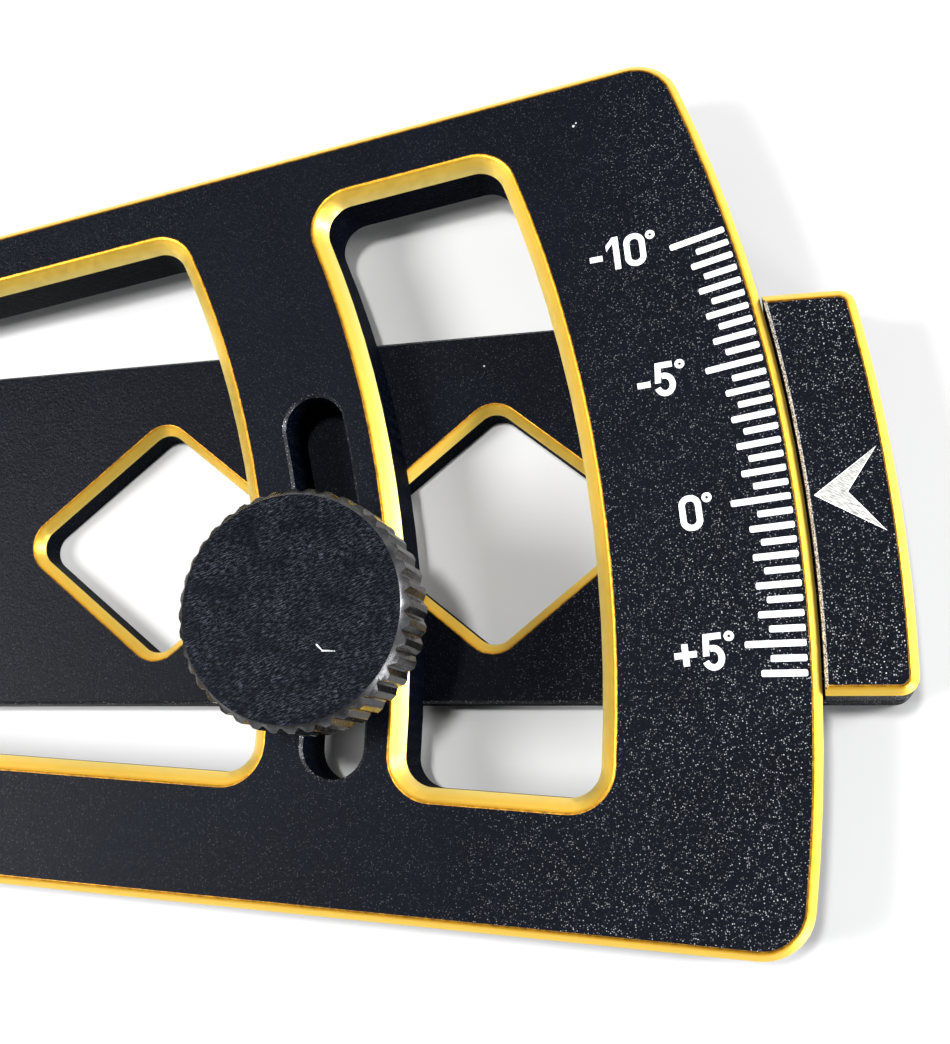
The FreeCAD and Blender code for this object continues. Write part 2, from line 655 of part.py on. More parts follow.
def serration_cutters(centre):
    """Upright grooves round the skirt. They leave teeth with rounded crests."""
    pitch = 2 * math.pi * KNOB_RADIUS / KNOB_TEETH
    half_outline = [
        (KNOB_RADIUS + CUTTER_MARGIN, GROOVE_MOUTH * pitch),
        (KNOB_RADIUS - KNOB_SHOULDER_DEPTH, GROOVE_SHOULDER * pitch),
        (KNOB_RADIUS - KNOB_TOOTH_DEPTH, GROOVE_BOTTOM * pitch),
    ]
    left = [Vec(radius, across, 0) for radius, across in half_outline]
    right = [Vec(radius, -across, 0) for radius, across in reversed(half_outline)]
    groove = prism(polygon(left + right), KNOB_BOTTOM - CUTTER_MARGIN, KNOB_TOP + CUTTER_MARGIN)
    cutters = []
    for tooth in range(KNOB_TEETH):
        cutter = groove.copy()
        cutter.rotate(Vec(0, 0, 0), UP, tooth * 360 / KNOB_TEETH)
        cutter.translate(centre)
        cutters.append(cutter)
    return cutters


def knob():
    """Round head with an upright serrated skirt, a neck below it and a blind hole."""
    centre = stud_centre()
    profile = [
        (INSERT_RADIUS, NECK_BOTTOM),
        (NECK_RADIUS, NECK_BOTTOM),
        (NECK_RADIUS, KNOB_BOTTOM),
        (KNOB_RADIUS - KNOB_LOWER_BEVEL, KNOB_BOTTOM),
        (KNOB_RADIUS, SKIRT_BOTTOM),
        (KNOB_RADIUS, SKIRT_TOP),
        (KNOB_FACE_RADIUS, KNOB_TOP),
        (0, KNOB_TOP),
        (0, BLIND_HOLE_TOP),
        (STUD_RADIUS + RUNNING_CLEARANCE, BLIND_HOLE_TOP),
        (STUD_RADIUS + RUNNING_CLEARANCE, NECK_BOTTOM + INSERT_HEIGHT),
        (INSERT_RADIUS, NECK_BOTTOM + INSERT_HEIGHT),
    ]
    return biggest(revolve(profile, centre).cut(group(serration_cutters(centre))))


def knob_insert():
    """Threaded brass insert pressed into the knob from below."""
    thread_radius = STUD_RADIUS + RUNNING_CLEARANCE
    return ring(INSERT_RADIUS, thread_radius, NECK_BOTTOM, NECK_BOTTOM + INSERT_HEIGHT, stud_centre())


def retaining_ring():
    """Spring ring on the neck that keeps the washer with the knob."""
    bottom = WASHER_TOP + SEAT_GAP
    outer = NECK_RADIUS + 2 * RING_WIRE
    full = ring(outer, NECK_RADIUS, bottom, bottom + RING_HEIGHT, stud_centre())
    gap = Part.makeBox(outer, RING_GAP, RING_HEIGHT, stud_centre() + Vec(0, -RING_GAP / 2, bottom))
    return full.cut(gap)


# ---- assembly ------------------------------------------------------------------------
def build_parts():
    ticks = scale_ticks()
    labels = {name: label(*placed_text) for name, placed_text in LABELS.items()}
    marks = [mark for kind in ticks.values() for mark in kind] + list(labels.values())
    parts = {
        "swing_arm": swing_arm(),
        "pointer_block": pointer_block(),
        "pointer_arrow": chevron(FAN_TOP - INK_DEPTH, FAN_TOP),
        "block_screws": group([block_screw(spot) for spot in fastener_spots(BLOCK_SCREW_ANGLES)]),
        "block_dowels": group([
            disc(DOWEL_RADIUS, DOWEL_FROM, DOWEL_TO, spot) for spot in fastener_spots(BLOCK_DOWEL_ANGLES)]),
        "clamp_stud": clamp_stud(),
        "pivot_post": pivot_post(),
        "thrust_washer": thrust_washer(),
        "pivot_washer": pivot_washer(),
        "pivot_screw": pivot_screw(),
        "pivot_bush": pivot_bush(),
        "fan_plate": fan_plate(marks),
        "clamp_pad": clamp_pad(),
        "clamp_washer": clamp_washer(),
        "knob": knob(),
        "knob_insert": knob_insert(),
        "retaining_ring": retaining_ring(),
    }
    for kind, shapes in ticks.items():
        parts["scale_ticks_" + kind] = group(shapes)
    for name, shape in labels.items():
        parts["numeral_" + name] = shape
    return parts


os.makedirs("parts", exist_ok=True)
for name, shape in build_parts().items():
    shape.exportStep("parts/" + name + ".step")
    box = shape.BoundBox
    size = f"{box.XLength:.2f} x {box.YLength:.2f} x {box.ZLength:.2f}"
    print(f"{name:20s} solids {len(shape.Solids):3d}  valid {shape.isValid()}  size {size}")
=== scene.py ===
import math
import bmesh
import bpy
from mathutils import Matrix, Vector


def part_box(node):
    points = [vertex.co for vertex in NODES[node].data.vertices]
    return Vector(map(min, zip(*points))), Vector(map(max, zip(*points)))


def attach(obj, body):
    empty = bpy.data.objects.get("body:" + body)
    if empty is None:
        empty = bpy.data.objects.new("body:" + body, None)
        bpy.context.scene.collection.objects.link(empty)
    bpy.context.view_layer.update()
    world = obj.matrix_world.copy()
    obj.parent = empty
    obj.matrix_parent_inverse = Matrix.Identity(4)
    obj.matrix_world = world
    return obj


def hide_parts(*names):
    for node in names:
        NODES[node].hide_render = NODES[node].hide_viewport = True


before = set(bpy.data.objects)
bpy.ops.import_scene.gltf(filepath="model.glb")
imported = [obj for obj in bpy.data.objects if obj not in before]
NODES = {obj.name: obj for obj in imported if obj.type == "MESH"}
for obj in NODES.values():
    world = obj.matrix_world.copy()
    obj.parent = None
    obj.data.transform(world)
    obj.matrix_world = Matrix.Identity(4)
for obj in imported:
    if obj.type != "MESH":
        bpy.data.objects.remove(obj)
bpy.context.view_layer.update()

# Lengths are in metres, angles in degrees and colours linear, unless a comment says otherwise.
MM = 0.001

# ---- camera: lens and sensor in millimetres --------------------------------------------
CAMERA_PLACE = Vector((158.0, -28.3, 138.3)) * MM
CAMERA_TARGET = Vector((129.4, 2.0, 10.7)) * MM
CAMERA_ROLL = -50.5
CAMERA_LENS = 46.55
CAMERA_SENSOR = 36.0
CAMERA_CLIP = (0.005, 20.0)

# ---- light and floor -------------------------------------------------------------------
# Each lamp's name, place, side length and power in watts.
LAMPS = (
    ("overhead", (0.125, 0.055, 0.60), 0.05, 2.0),
    ("left", (-0.20, 0.00, 0.39), 0.20, 2.5),
    ("right", (0.62, 0.05, 0.27), 0.16, 2.4),
    ("low", (0.44, -0.32, 0.10), 0.12, 1.1),
)
# Brightness of the surroundings at a height from 0, level, to 1, straight up.
SKY_STOPS = ((0.0, 1.0), (0.30, 0.8), (0.50, 0.12), (0.9, 0.04))
SKY_TINT = (0.97, 0.99, 1.0)
HORIZON_LIGHT = 1.2
# The photographer's side is dimmer, from -0.1 to -0.9 along the direction's Y.
SHADE_STARTS = -0.1
SHADE_FULL = -0.9
SHADED_SIDE = 0.18
FLOOR_SIZE = 4.0
FLOOR_DROP = 0.05 * MM

# ---- shapes ----------------------------------------------------------------------------
WELD = 0.0005 * MM
FLAT_ANGLE = math.radians(0.05)
CORNER_ANGLE = math.radians(30)
EASED_ANGLE = math.radians(25)
GOLD_DEPTH = 0.5 * MM
EDGE_ROUND = 0.07 * MM
GOLD_ROUND = 0.2 * MM
KNOB_EDGE_ROUND = 0.10 * MM
BORDER_WIDTH = 0.13 * MM
TOP_TOLERANCE = 0.01 * MM
# Limits of the Z part of a face's normal.
LEVEL = 0.99
SLOPE_STEEPEST = 0.2
SLOPE_FLATTEST = 0.95

# Material slots of a plate, of the knob and of the arrow.
PLATE_FACE, PLATE_GOLD, PLATE_WEAR, PLATE_WALL = range(4)
KNOB_SKIRT, KNOB_FACE, KNOB_BEVEL = range(3)
ARROW_FACE, ARROW_BORDER = range(2)

# ---- pattern sizes ---------------------------------------------------------------------
# Spacing of the painted glints on the black.
GLINT_PITCH = 0.17 * MM
RING_PITCH = 2 * math.pi * 0.18 * MM
# A wave texture of scale 1 turns through this many radians in a unit of length.
WAVE_RATE = 20
# A stretch so long that the pattern doesn't change along the axis.
ENDLESS = 1e6
# Noise seldom leaves this range.
NOISE_LOW, NOISE_HIGH = 0.3, 0.7
# Direction toward the fan's far corner, and distances along it between which the painted glints thicken
# toward the overhead lamp's reflection.
GLINT_DRIFT = (0.95, -0.30, 0)
GLINTS_THIN, GLINTS_THICK = 0.125, 0.155
# Distances from the pivot along X between which the black turns rougher.
SMOOTH_UNTIL, ROUGH_FROM = 0.07, 0.125
BRUSH_TURN, CROSS_BRUSH_TURN = 16, -62
HATCH_TURN, CROSS_HATCH_TURN = -38, 8

# Nicks as x, y, z and radius in millimetres, and the knob's bent scratch as its x, y corners.
FACE_NICKS = ((144.0, 42.2, 10.7, 0.16), (144.3, 42.5, 10.7, 0.10), (130.6, 20.4, 4.0, 0.12))
SCRATCH_CORNERS = ((116.5, -10.1), (117.0, -10.7), (118.3, -10.9))
SCRATCH_HEIGHT = 23.4
SCRATCH_STEPS = 9
SCRATCH_RADIUS = 0.11
SCRATCH_TAPER = 0.5

# ---- colours: a pair is the darkest and the lightest tone of a surface -------------------
BLACK_DYE = ((0.0002, 0.0007, 0.0028), (0.0016, 0.0030, 0.0076))
# Colour of the painted glints on the black.
PAINTED_GLINT = (0.95, 0.98, 1.0)
FACE_NICK = (0.6, 0.61, 0.64)
# The gold's lip and orange tones are painted shade, and its pale tone is a painted highlight.
GOLD_LIP_SHADE = (0.16, 0.07, 0.006)
GOLD_AMBER_SHADE = (0.95, 0.47, 0.025)
GOLD_YELLOW = (1.0, 0.66, 0.10)
GOLD_CREAM_HIGHLIGHT = (1.0, 0.78, 0.24)
KNOB_BRUSHING = ((0.0008, 0.0014, 0.0036), (0.11, 0.125, 0.16))
KNOB_SCRATCH = (0.8, 0.81, 0.84)
KNOB_RUB = ((0.035, 0.035, 0.038), (0.11, 0.11, 0.115))
EDGE_RUB = ((0.009, 0.010, 0.014), (0.72, 0.72, 0.72))
WHITE_PAINT = ((0.84, 0.86, 0.87), (0.97, 0.97, 0.97))
HATCHING = ((0.17, 0.17, 0.16), (0.50, 0.50, 0.48))
ARROW_OUTLINE = ((0.84, 0.84, 0.82), (0.97, 0.97, 0.95))
NYLON = ((0.74, 0.73, 0.67), (0.85, 0.84, 0.8))
FLOOR = ((0.69, 0.69, 0.685), (0.73, 0.73, 0.73))
STEEL = ((0.45, 0.46, 0.47), (0.62, 0.63, 0.64))
DULL_STEEL = ((0.20, 0.205, 0.21), (0.32, 0.325, 0.33))
SPRING_STEEL = ((0.3, 0.31, 0.32), (0.5, 0.5, 0.52))
BLACK_OXIDE = ((0.03, 0.03, 0.032), (0.07, 0.07, 0.075))
BLACK_SCREW = ((0.02, 0.02, 0.022), (0.06, 0.06, 0.065))
BRONZE = ((0.45, 0.28, 0.12), (0.66, 0.45, 0.22))
BRASS = ((0.6, 0.42, 0.16), (0.8, 0.6, 0.28))


# ---- shader helpers --------------------------------------------------------------------
class Finish:
    """A material under construction, in object coordinates measured in metres."""

    # Sockets of a Mix node that hold its factor and its colours.
    MIX_FACTOR, MIX_FROM, MIX_TO, MIX_RESULT = 0, 6, 7, 2

    def __init__(self, name, colour, metallic, roughness):
        self.material = bpy.data.materials.new(name)
        self.material.use_nodes = True
        self.tree = self.material.node_tree
        self.shader = self.tree.nodes["Principled BSDF"]
        self.set("Base Color", (*colour, 1))
        self.set("Metallic", metallic)
        self.set("Roughness", roughness)
        self.place = self.add("ShaderNodeTexCoord").outputs["Object"]

    def add(self, kind, **settings):
        node = self.tree.nodes.new(kind)
        for name, value in settings.items():
            setattr(node, name, value)
        return node

    def put(self, node, socket, value):
        """Give a socket a constant or a link."""
        if isinstance(value, bpy.types.NodeSocket):
            self.tree.links.new(value, node.inputs[socket])
        else:
            node.inputs[socket].default_value = value

    def set(self, socket, value):
        self.put(self.shader, socket, value)

    def moved(self, centre=(0, 0, 0), turn=0.0, stretch=(1, 1, 1)):
        """Coordinates from a centre, turned about Z; a pattern grows along each axis by its stretch."""
        node = self.add("ShaderNodeMapping", vector_type="TEXTURE")
        self.put(node, "Vector", self.place)
        self.put(node, "Location", centre)
        self.put(node, "Rotation", (0, 0, math.radians(turn)))
        self.put(node, "Scale", stretch)
        return node.outputs[0]

    def noise(self, grain, detail=2.0, rough=0.5, place=None):
        """Noise whose features are about one grain across."""
        node = self.add("ShaderNodeTexNoise")
        self.put(node, "Vector", place or self.place)
        self.put(node, "Scale", 1 / grain)
        self.put(node, "Detail", detail)
        self.put(node, "Roughness", rough)
        return node.outputs[0]

    def span(self, value, low, high, to=(0.0, 1.0)):
        """Carry the range from low to high over to another one, and hold what lies outside."""
        node = self.add("ShaderNodeMapRange", clamp=True)
        self.put(node, "From Min", low)
        self.put(node, "From Max", high)
        self.put(node, "To Min", to[0])
        self.put(node, "To Max", to[1])
        self.put(node, "Value", value)
        return node.outputs[0]

    def mottle(self, grain, detail, to=(0.0, 1.0)):
        """Noise stretched to fill a range."""
        return self.span(self.noise(grain, detail), NOISE_LOW, NOISE_HIGH, to)

    def calc(self, operation, a, b):
        node = self.add("ShaderNodeMath", operation=operation)
        self.put(node, 0, a)
        self.put(node, 1, b)
        return node.outputs[0]

    def product(self, first, *others):
        for other in others:
            first = self.calc("MULTIPLY", first, other)
        return first

    def mix(self, factor, *colours):
        """Blend from one colour to another; each is three numbers or a link."""
        node = self.add("ShaderNodeMix", data_type="RGBA")
        self.put(node, self.MIX_FACTOR, factor)
        for socket, colour in zip((self.MIX_FROM, self.MIX_TO), colours):
            self.put(node, socket, (*colour, 1) if isinstance(colour, tuple) else colour)
        return node.outputs[self.MIX_RESULT]

    def red(self, colour):
        """Red part of a colour, as a number."""
        node = self.add("ShaderNodeSeparateColor")
        self.put(node, 0, colour)
        return node.outputs[0]

    def along(self, direction):
        """Distance along a direction, measured from the pivot."""
        node = self.add("ShaderNodeVectorMath", operation="DOT_PRODUCT")
        self.put(node, 0, self.place)
        self.put(node, 1, direction)
        return node.outputs["Value"]

    def spots(self, places):
        """1 inside small round nicks given as x, y, z and radius in millimetres, else 0."""
        found = 0.0
        for x, y, z, radius in places:
            node = self.add("ShaderNodeVectorMath", operation="DISTANCE")
            self.put(node, 0, self.place)
            self.put(node, 1, (x * MM, y * MM, z * MM))
            core, rim = radius * MM * 0.6, radius * MM
            inside = self.span(node.outputs["Value"], core, rim, to=(1.0, 0.0))
            found = self.calc("MAXIMUM", inside, found)
        return found

    def rings(self, centre, pitch):
        """Turning marks: 0 to 1 and back across each ring about an upright axis."""
        place = self.moved(centre=(centre.x, centre.y, 0), stretch=(1, 1, ENDLESS))
        node = self.add("ShaderNodeTexWave", wave_type="RINGS", rings_direction="Z")
        self.put(node, "Vector", place)
        self.put(node, "Scale", 2 * math.pi / (pitch * WAVE_RATE))
        self.put(node, "Distortion", 0.4)
        return node.outputs[1]

    def bump(self, height, depth, strength=1.0, below=None):
        """Normal of a relief, laid over the one below it."""
        node = self.add("ShaderNodeBump")
        self.put(node, "Height", height)
        self.put(node, "Distance", depth)
        self.put(node, "Strength", strength)
        if below is not None:
            self.put(node, "Normal", below)
        return node.outputs[0]


# ---- finishes --------------------------------------------------------------------------
def black_anodised(name, specular):
    """Bead-blasted and dyed aluminium: blue-black and leathery, with fine bright points that are painted
    glints, densest where the overhead lamp reflects.
    """
    finish = Finish(name, (0.005, 0.006, 0.01), 0.0, 0.42)
    finish.set("Specular IOR Level", specular)
    # Painted glints: scattered bright points in the base colour, thickening toward the far corner where
    # the overhead lamp reflects.
    cells = finish.add("ShaderNodeTexVoronoi", feature="F1")
    finish.put(cells, "Vector", finish.place)
    finish.put(cells, "Scale", 1 / GLINT_PITCH)
    dot = finish.span(cells.outputs["Distance"], 0.15, 0.42, to=(1.0, 0.0))
    lucky = finish.span(finish.red(cells.outputs["Color"]), 0.25, 1.0)
    crowd = finish.span(finish.noise(25 * MM), 0.35, 0.65, to=(0.5, 1.0))
    glint_drift = finish.span(finish.along(GLINT_DRIFT), GLINTS_THIN, GLINTS_THICK, to=(0.09, 1.0))
    painted_glints = finish.product(dot, lucky, lucky, lucky, crowd, glint_drift)
    hide = finish.span(finish.noise(0.3 * MM, 3.0, 0.65), 0.35, 0.65)
    haze = finish.mottle(8 * MM, 4.0, to=(0.0, 0.6))
    shade = finish.calc("ADD", haze, finish.product(hide, 0.6))
    glinted = finish.mix(painted_glints, finish.mix(shade, *BLACK_DYE), PAINTED_GLINT)
    finish.set("Base Color", finish.mix(finish.spots(FACE_NICKS), glinted, FACE_NICK))
    rougher = finish.span(finish.along((1, 0, 0)), SMOOTH_UNTIL, ROUGH_FROM, to=(0.30, 0.64))
    finish.set("Roughness", finish.calc("ADD", rougher, finish.product(haze, 0.06)))
    streaks = finish.noise(0.3 * MM, place=finish.moved(turn=-35, stretch=(3, 1, 1)))
    finish.set("Normal", finish.bump(streaks, 0.03 * MM, 0.8, finish.bump(hide, 0.03 * MM)))
    return finish.material


def gold_cut(name, top):
    """Chamfer cut through the black and left gold. Painted shade makes it dark and orange by the face,
    and a painted highlight makes it paler down its slope.
    """
    finish = Finish(name, (1.0, 0.6, 0.08), 0.75, 0.36)
    wander = finish.mottle(0.6 * MM, 3.0, to=(-0.012 * MM, 0.012 * MM))
    depth = finish.calc("SUBTRACT", top, finish.calc("ADD", finish.along((0, 0, 1)), wander))
    # Painted shade gives a dark lip and orange by the face, fading to yellow. Lower down the slope is a
    # pale painted highlight.
    shaded_lip = finish.mix(finish.span(depth, 0.0, 0.06 * MM), GOLD_LIP_SHADE, GOLD_AMBER_SHADE)
    yellow = finish.mix(finish.span(depth, 0.04 * MM, 0.3 * MM), shaded_lip, GOLD_YELLOW)
    highlighted_slope = finish.mix(finish.span(depth, 0.6 * MM, 1.3 * MM), yellow, GOLD_CREAM_HIGHLIGHT)
    finish.set("Base Color", highlighted_slope)
    finish.set("Roughness", finish.mottle(0.8 * MM, 2.0, to=(0.32, 0.42)))
    lines = finish.noise(0.10 * MM, 1.0, place=finish.moved(turn=20, stretch=(1, 6, 6)))
    finish.set("Normal", finish.bump(lines, 0.0025 * MM))
    return finish.material


def scratch():
    """Small round spots that run together into a bent scratch, each leg thinner toward its end."""
    spots = []
    for start, end in zip(SCRATCH_CORNERS, SCRATCH_CORNERS[1:]):
        for step in range(SCRATCH_STEPS):
            share = step / SCRATCH_STEPS
            x, y = (a + (b - a) * share for a, b in zip(start, end))
            spots.append((x, y, SCRATCH_HEIGHT, SCRATCH_RADIUS * (1 - SCRATCH_TAPER * share)))
    return spots


def black_knob_face():
    """Face of the knob, brushed both ways before dyeing, with one small scratch."""
    finish = Finish("black_knob_face", (0.006, 0.007, 0.011), 0.0, 0.4)
    finish.set("Specular IOR Level", 0.03)
    grain = 0.09 * MM
    one_way = finish.noise(grain, 1.0, place=finish.moved(turn=BRUSH_TURN, stretch=(7, 1, 1)))
    other_way = finish.noise(grain, 1.0, place=finish.moved(turn=CROSS_BRUSH_TURN, stretch=(4, 1, 1)))
    stronger, weaker = finish.span(one_way, 0.52, 0.85), finish.span(other_way, 0.58, 0.9, to=(0, 0.7))
    brushed = finish.calc("ADD", stronger, weaker)
    patches = finish.span(finish.noise(2.6 * MM, 3.0), 0.35, 0.7, to=(0.25, 1.0))
    hatched = finish.mix(finish.product(brushed, patches), *KNOB_BRUSHING)
    nick = finish.spots(scratch())
    finish.set("Base Color", finish.mix(nick, hatched, KNOB_SCRATCH))
    finish.set("Roughness", finish.span(patches, 0.25, 1.0, to=(0.36, 0.48)))
    finish.set("Normal", finish.bump(nick, -0.05 * MM, 1.0, finish.bump(brushed, 0.010 * MM)))
    return finish.material


def black_knob_side():
    """Toothed skirt of the knob: smooth black with a metallic sheen."""
    finish = Finish("black_knob_side", (0.045, 0.045, 0.047), 0.8, 0.22)
    finish.set("Roughness", finish.mottle(0.8 * MM, 3.0, to=(0.16, 0.30)))
    finish.set("Normal", finish.bump(finish.noise(0.15 * MM), 0.004 * MM))
    return finish.material


def worn_knob_bevel():
    """Bevel round the knob's face, polished grey by fingers."""
    finish = Finish("worn_knob_bevel", (0.07, 0.07, 0.075), 0.9, 0.3)
    rub = finish.mottle(1.2 * MM, 3.0)
    finish.set("Base Color", finish.mix(rub, *KNOB_RUB))
    finish.set("Roughness", finish.span(rub, 0.0, 1.0, to=(0.32, 0.22)))
    finish.set("Normal", finish.bump(finish.noise(0.12 * MM), 0.004 * MM))
    return finish.material


def worn_edge(name, low, high):
    """Shallow break along an edge, bare where its noise passes from the low level to the high one."""
    finish = Finish(name, (0.02, 0.02, 0.022), 0.4, 0.35)
    rubbed = finish.span(finish.noise(0.16 * MM, 4.0, 0.6), low, high)
    finish.set("Base Color", finish.mix(rubbed, *EDGE_RUB))
    finish.set("Normal", finish.bump(finish.noise(0.1 * MM), 0.008 * MM))
    return finish.material


def white_paint():
    """Matt paint of the scale, slightly uneven."""
    finish = Finish("white_paint", (0.92, 0.93, 0.94), 0.0, 0.5)
    finish.set("Base Color", finish.mix(finish.mottle(0.4 * MM, 3.0), *WHITE_PAINT))
    finish.set("Normal", finish.bump(finish.noise(0.12 * MM), 0.01 * MM))
    return finish.material


def hatched_aluminium():
    """Bare metal scraped clean by fine parallel passes."""
    finish = Finish("hatched_aluminium", (0.4, 0.4, 0.38), 0.35, 0.42)
    long_way = (9, 1, 1)
    passes = finish.noise(0.07 * MM, 1.0, place=finish.moved(turn=HATCH_TURN, stretch=long_way))
    crossed = finish.noise(0.09 * MM, 1.0, place=finish.moved(turn=CROSS_HATCH_TURN, stretch=long_way))
    stronger, weaker = finish.span(passes, 0.32, 0.62), finish.span(crossed, 0.2, 0.6, to=(0.5, 1.0))
    finish.set("Base Color", finish.mix(finish.product(stronger, weaker), *HATCHING))
    finish.set("Roughness", finish.span(passes, NOISE_LOW, NOISE_HIGH, to=(0.5, 0.34)))
    finish.set("Normal", finish.bump(passes, 0.010 * MM))
    return finish.material


def arrow_border():
    """Polished outline round the arrow."""
    finish = Finish("arrow_border", (0.93, 0.93, 0.91), 0.3, 0.35)
    finish.set("Base Color", finish.mix(finish.mottle(0.3 * MM, 2.0), *ARROW_OUTLINE))
    return finish.material


def metal(name, tones, centre, roughness):
    """Turned metal: rings about the axis it was turned on, with slight stains."""
    finish = Finish(name, tones[1], 1.0, roughness)
    rings = finish.rings(centre, RING_PITCH)
    finish.set("Base Color", finish.mix(finish.mottle(1.6 * MM, 4.0), *tones))
    finish.set("Roughness", finish.span(rings, 0.0, 1.0, to=(roughness * 0.8, roughness * 1.25)))
    finish.set("Normal", finish.bump(rings, 0.004 * MM))
    return finish.material


def nylon():
    """Off-white washer plastic, slightly translucent."""
    finish = Finish("nylon", (0.8, 0.79, 0.74), 0.0, 0.5)
    finish.set("Subsurface Weight", 0.1)
    finish.set("Base Color", finish.mix(finish.mottle(1.0 * MM, 3.0), *NYLON))
    finish.set("Normal", finish.bump(finish.noise(0.3 * MM), 0.01 * MM))
    return finish.material


def pale_floor():
    finish = Finish("pale_floor", (0.71, 0.71, 0.71), 0.0, 0.6)
    finish.set("Base Color", finish.mix(finish.mottle(60 * MM, 2.0), *FLOOR))
    return finish.material


# ---- camera, light, floor --------------------------------------------------------------
def make_camera():
    data = bpy.data.cameras.new("camera")
    data.lens = CAMERA_LENS
    data.sensor_width = CAMERA_SENSOR
    data.clip_start, data.clip_end = CAMERA_CLIP
    camera = bpy.data.objects.new("camera", data)
    bpy.context.scene.collection.objects.link(camera)
    turn = (CAMERA_TARGET - CAMERA_PLACE).to_track_quat("-Z", "Y").to_matrix().to_4x4()
    roll = Matrix.Rotation(math.radians(CAMERA_ROLL), 4, "Z")
    camera.matrix_world = Matrix.Translation(CAMERA_PLACE) @ turn @ roll
    bpy.context.scene.camera = camera


def softbox(name, place, size, power):
    """Square light panel that faces the middle of the photo's view."""
    data = bpy.data.lights.new(name, "AREA")
    data.shape = "SQUARE"
    data.size = size
    data.energy = power
    lamp = bpy.data.objects.new(name, data)
    bpy.context.scene.collection.objects.link(lamp)
    lamp.location = place
    lamp.rotation_mode = "QUATERNION"
    lamp.rotation_quaternion = (CAMERA_TARGET - Vector(place)).to_track_quat("-Z", "Y")


def make_world():
    """White walls, a dark ceiling, and a dimmer side where the photographer stands."""
    world = bpy.data.worlds.new("studio")
    world.use_nodes = True
    tree = world.node_tree
    background = tree.nodes["Background"]
    coordinates = tree.nodes.new("ShaderNodeTexCoord")
    split = tree.nodes.new("ShaderNodeSeparateXYZ")
    tree.links.new(coordinates.outputs["Generated"], split.inputs[0])
    height = tree.nodes.new("ShaderNodeValToRGB")
    ramp = height.color_ramp
    ramp.interpolation = "EASE"
    while len(ramp.elements) < len(SKY_STOPS):
        ramp.elements.new(0.5)
    for element, (place, value) in zip(ramp.elements, SKY_STOPS):
        element.position = place
        element.color = (*(value * tint for tint in SKY_TINT), 1)
    tree.links.new(split.outputs["Z"], height.inputs[0])
    side = tree.nodes.new("ShaderNodeMapRange")
    side.inputs["From Min"].default_value = SHADE_FULL
    side.inputs["From Max"].default_value = SHADE_STARTS
    side.inputs["To Min"].default_value = SHADED_SIDE * HORIZON_LIGHT
    side.inputs["To Max"].default_value = HORIZON_LIGHT
    tree.links.new(split.outputs["Y"], side.inputs["Value"])
    tree.links.new(height.outputs[0], background.inputs["Color"])
    tree.links.new(side.outputs[0], background.inputs["Strength"])
    bpy.context.scene.world = world


def make_floor():
    bpy.ops.mesh.primitive_plane_add(size=FLOOR_SIZE, location=(0, 0, -FLOOR_DROP))
    floor = bpy.context.object
    floor.name = "floor"
    floor.data.materials.append(pale_floor())


# ---- pieces ----------------------------------------------------------------------------
def clean_shape(node):
    """Editable copy of a CAD node's mesh, with doubled points and flat seams merged."""
    shape = bmesh.new()
    shape.from_mesh(NODES[node].data)
    bmesh.ops.remove_doubles(shape, verts=shape.verts, dist=WELD)
    bmesh.ops.dissolve_limit(shape, angle_limit=FLAT_ANGLE, verts=shape.verts, edges=shape.edges)
    shape.normal_update()
    return shape


def make_piece(shape, name, node, body, finishes):
    """Object made from a shape, which rides on a body and stands for a CAD node."""
    mesh = bpy.data.meshes.new(name)
    shape.to_mesh(mesh)
    shape.free()
    if "custom_normal" in mesh.attributes:
        mesh.attributes.remove(mesh.attributes["custom_normal"])
    for finish in finishes:
        mesh.materials.append(finish)
    piece = bpy.data.objects.new(name, mesh)
    bpy.context.scene.collection.objects.link(piece)
    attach(piece, body)
    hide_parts(node)
    return piece


def finished_copy(node, body, finishes, sort_faces, edge_round, gold_round=0.0):
    """Copy of a CAD node with a finish for each face, its edges eased and its gold rolled over."""
    shape = clean_shape(node)
    sort_faces(shape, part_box(node)[1].z)
    for face in shape.faces:
        face.smooth = True
    if gold_round:
        rounded = shape.edges.layers.float.new("bevel_weight_edge")
        for edge in shape.edges:
            slots = {face.material_index for face in edge.link_faces}
            edge[rounded] = float(slots == {PLATE_FACE, PLATE_GOLD})
    piece = make_piece(shape, node + "_finished", node, body, finishes)
    if gold_round:
        rolled = piece.modifiers.new("rolled_gold_edge", "BEVEL")
        rolled.width = gold_round
        rolled.segments = 3
        rolled.material = PLATE_GOLD
        rolled.limit_method = "WEIGHT"
    eased = piece.modifiers.new("eased_edges", "BEVEL")
    eased.width = edge_round
    eased.segments = 2
    eased.limit_method = "ANGLE"
    eased.angle_limit = EASED_ANGLE
    flat = piece.modifiers.new("flat_faces", "WEIGHTED_NORMAL")
    flat.mode = "FACE_AREA"
    flat.weight = 80


def bordered_arrow(body, node, finishes):
    """Copy of the arrow whose top face is hatched inside a thin bright border."""
    shape = clean_shape(node)
    tops = [face for face in shape.faces if face.normal.z > LEVEL]
    for face in shape.faces:
        face.material_index = ARROW_BORDER
    bmesh.ops.inset_region(shape, faces=tops, thickness=BORDER_WIDTH)
    for face in tops:
        face.material_index = ARROW_FACE
    make_piece(shape, node + "_bordered", node, body, finishes)


def slopes(face):
    return SLOPE_STEEPEST < face.normal.z < SLOPE_FLATTEST


def smooth_run(start):
    """Sloping faces that join one face without a corner."""
    run, waiting = {start}, [start]
    while waiting:
        face = waiting.pop()
        for edge in face.edges:
            for other in edge.link_faces:
                if other not in run and slopes(other) and face.normal.angle(other.normal) < CORNER_ANGLE:
                    run.add(other)
                    waiting.append(other)
    return run


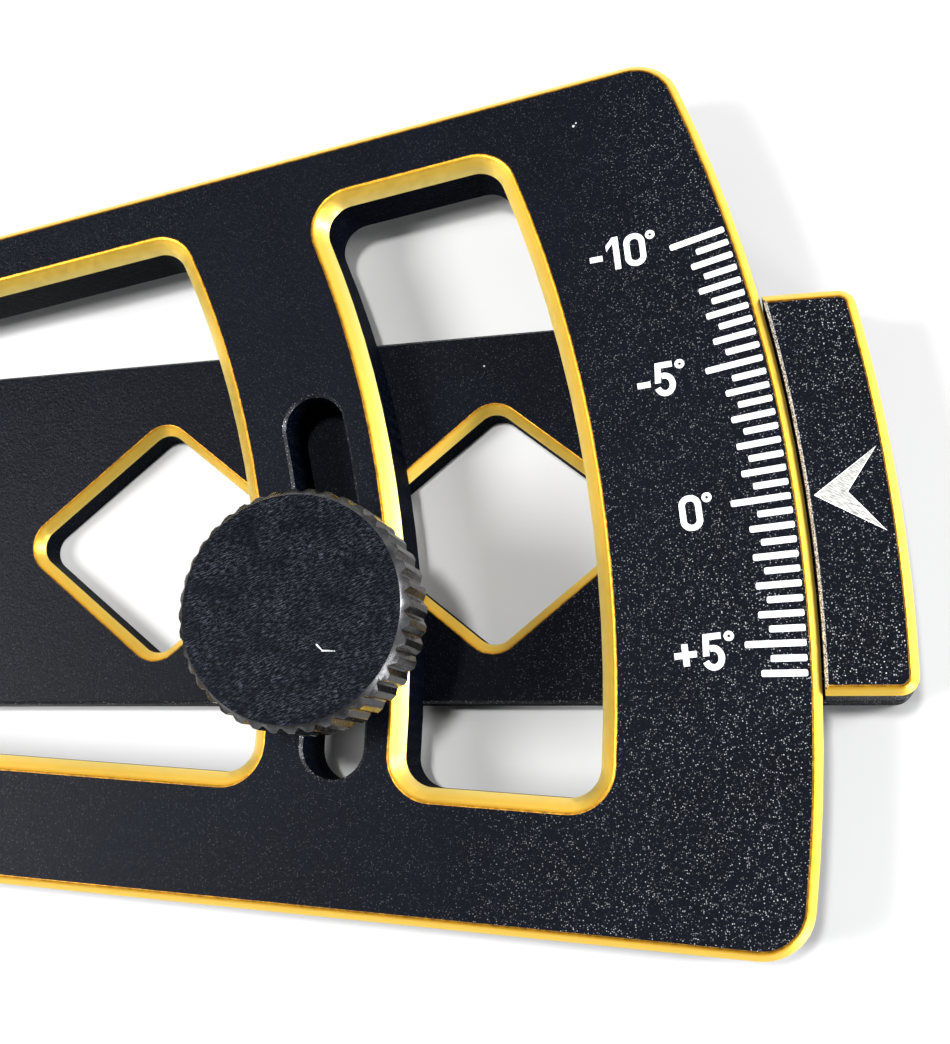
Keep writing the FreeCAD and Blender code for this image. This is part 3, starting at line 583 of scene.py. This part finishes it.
def sort_plate(shape, top):
    """Tell the top face, deep gold chamfers and shallow breaks from the walls and underside."""
    for face in shape.faces:
        face.material_index = PLATE_FACE if face.normal.z > SLOPE_STEEPEST else PLATE_WALL
    left = {face for face in shape.faces if slopes(face)}
    while left:
        run = smooth_run(left.pop())
        left -= run
        lowest = min(vertex.co.z for face in run for vertex in face.verts)
        for face in run:
            face.material_index = PLATE_GOLD if top - lowest > GOLD_DEPTH else PLATE_WEAR


def sort_knob(shape, top):
    """Tell the flat face and the bevel round it from the skirt."""
    for face in shape.faces:
        if face.normal.z > LEVEL and top - face.calc_center_median().z < TOP_TOLERANCE:
            face.material_index = KNOB_FACE
        else:
            face.material_index = KNOB_BEVEL if slopes(face) else KNOB_SKIRT


bpy.context.scene.view_settings.view_transform = "Standard"
make_camera()
make_world()
for lamp in LAMPS:
    softbox(*lamp)
make_floor()

face_black = black_anodised("black_face", 0.085)
wall_black = black_anodised("black_wall", 0.01)
sparse_wear = worn_edge("sparse_wear", 0.60, 0.72)
heavy_wear = worn_edge("heavy_wear", 0.42, 0.6)
for plate, rides_on, wear, walls in (
        ("fan_plate", "fan", sparse_wear, wall_black),
        ("swing_arm", "arm", sparse_wear, wall_black),
        ("pointer_block", "arm", heavy_wear, face_black)):
    gold = gold_cut(plate + "_gold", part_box(plate)[1].z)
    finishes = (face_black, gold, wear, walls)
    finished_copy(plate, rides_on, finishes, sort_plate, EDGE_ROUND, GOLD_ROUND)
finishes = (black_knob_side(), black_knob_face(), worn_knob_bevel())
finished_copy("knob", "clamp_knob", finishes, sort_knob, KNOB_EDGE_ROUND)
bordered_arrow("arm", "pointer_arrow", (hatched_aluminium(), arrow_border()))

pivot_axis = Vector((0, 0, 0))
stud_low, stud_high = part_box("clamp_stud")
clamp_axis = (stud_low + stud_high) / 2
white = white_paint()
finish_of = {
    "block_screws": metal("black_oxide", BLACK_OXIDE, clamp_axis, 0.4),
    "block_dowels": metal("dowel_steel", STEEL, clamp_axis, 0.25),
    "clamp_stud": metal("stud_steel", STEEL, clamp_axis, 0.28),
    "pivot_post": metal("post_steel", STEEL, pivot_axis, 0.28),
    "thrust_washer": nylon(),
    "pivot_washer": metal("washer_steel", DULL_STEEL, pivot_axis, 0.42),
    "pivot_screw": metal("screw_black", BLACK_SCREW, pivot_axis, 0.35),
    "pivot_bush": metal("bronze", BRONZE, pivot_axis, 0.35),
    "clamp_pad": nylon(),
    "clamp_washer": metal("clamp_steel", STEEL, clamp_axis, 0.3),
    "knob_insert": metal("brass", BRASS, clamp_axis, 0.3),
    "retaining_ring": metal("spring_steel", SPRING_STEEL, clamp_axis, 0.3),
}
for name, node in NODES.items():
    if name.startswith(("scale_", "numeral_")):
        finish_of[name] = white
    if name in finish_of:
        node.data.materials.clear()
        node.data.materials.append(finish_of[name])
